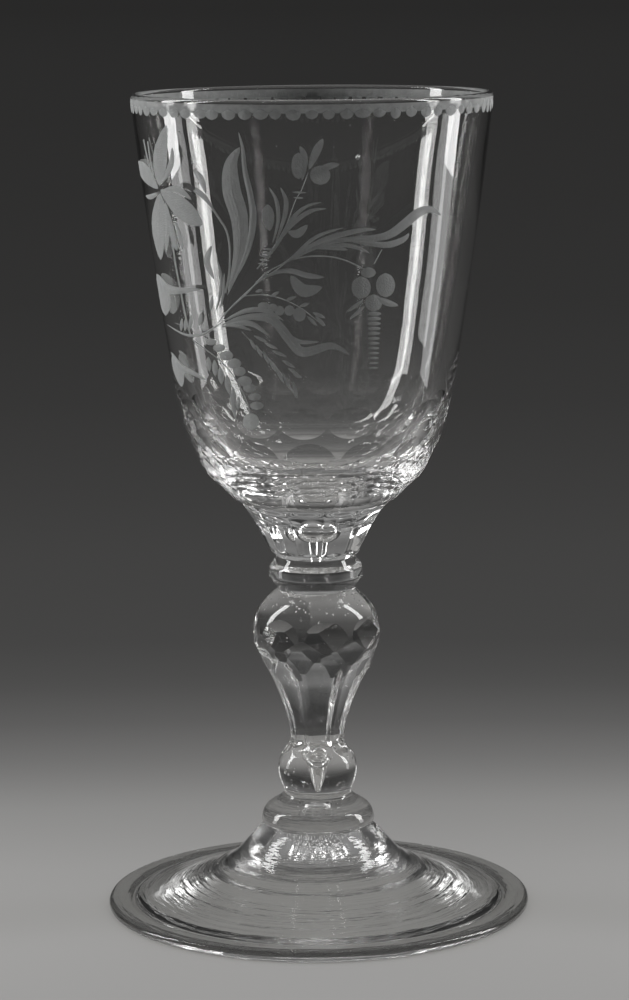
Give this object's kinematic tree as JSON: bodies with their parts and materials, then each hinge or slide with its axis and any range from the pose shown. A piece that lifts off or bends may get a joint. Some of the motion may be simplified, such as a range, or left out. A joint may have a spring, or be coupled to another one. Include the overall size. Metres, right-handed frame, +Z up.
{
  "type": "goblet",
  "caption": "Colourless glass goblet: deep engraved and facet-cut bowl on a fluted base, cut baluster stem with air tears, and a conical foot with a folded edge.",
  "frame": {"origin": "centre of the ring that the foot stands on, at the level of the table", "axes": "+Z up along the axis of the goblet from the foot to the rim; -Y towards the viewer of the picture; +X to the viewer's right"},
  "size_m": [0.104, 0.104, 0.2],
  "materials": {
    "clear_glass": "polished, colourless with a faint grey tint",
    "engraved_glass": "wheel-ground, matt"
  },
  "bodies": {
    "root": {"foot": "clear_glass", "disc_merese": "clear_glass", "lower_collar": "clear_glass", "tear_knop": "clear_glass", "baluster": "clear_glass", "upper_collar": "clear_glass", "bowl_base": "clear_glass", "bowl": "clear_glass"}
  },
  "joints": []
}
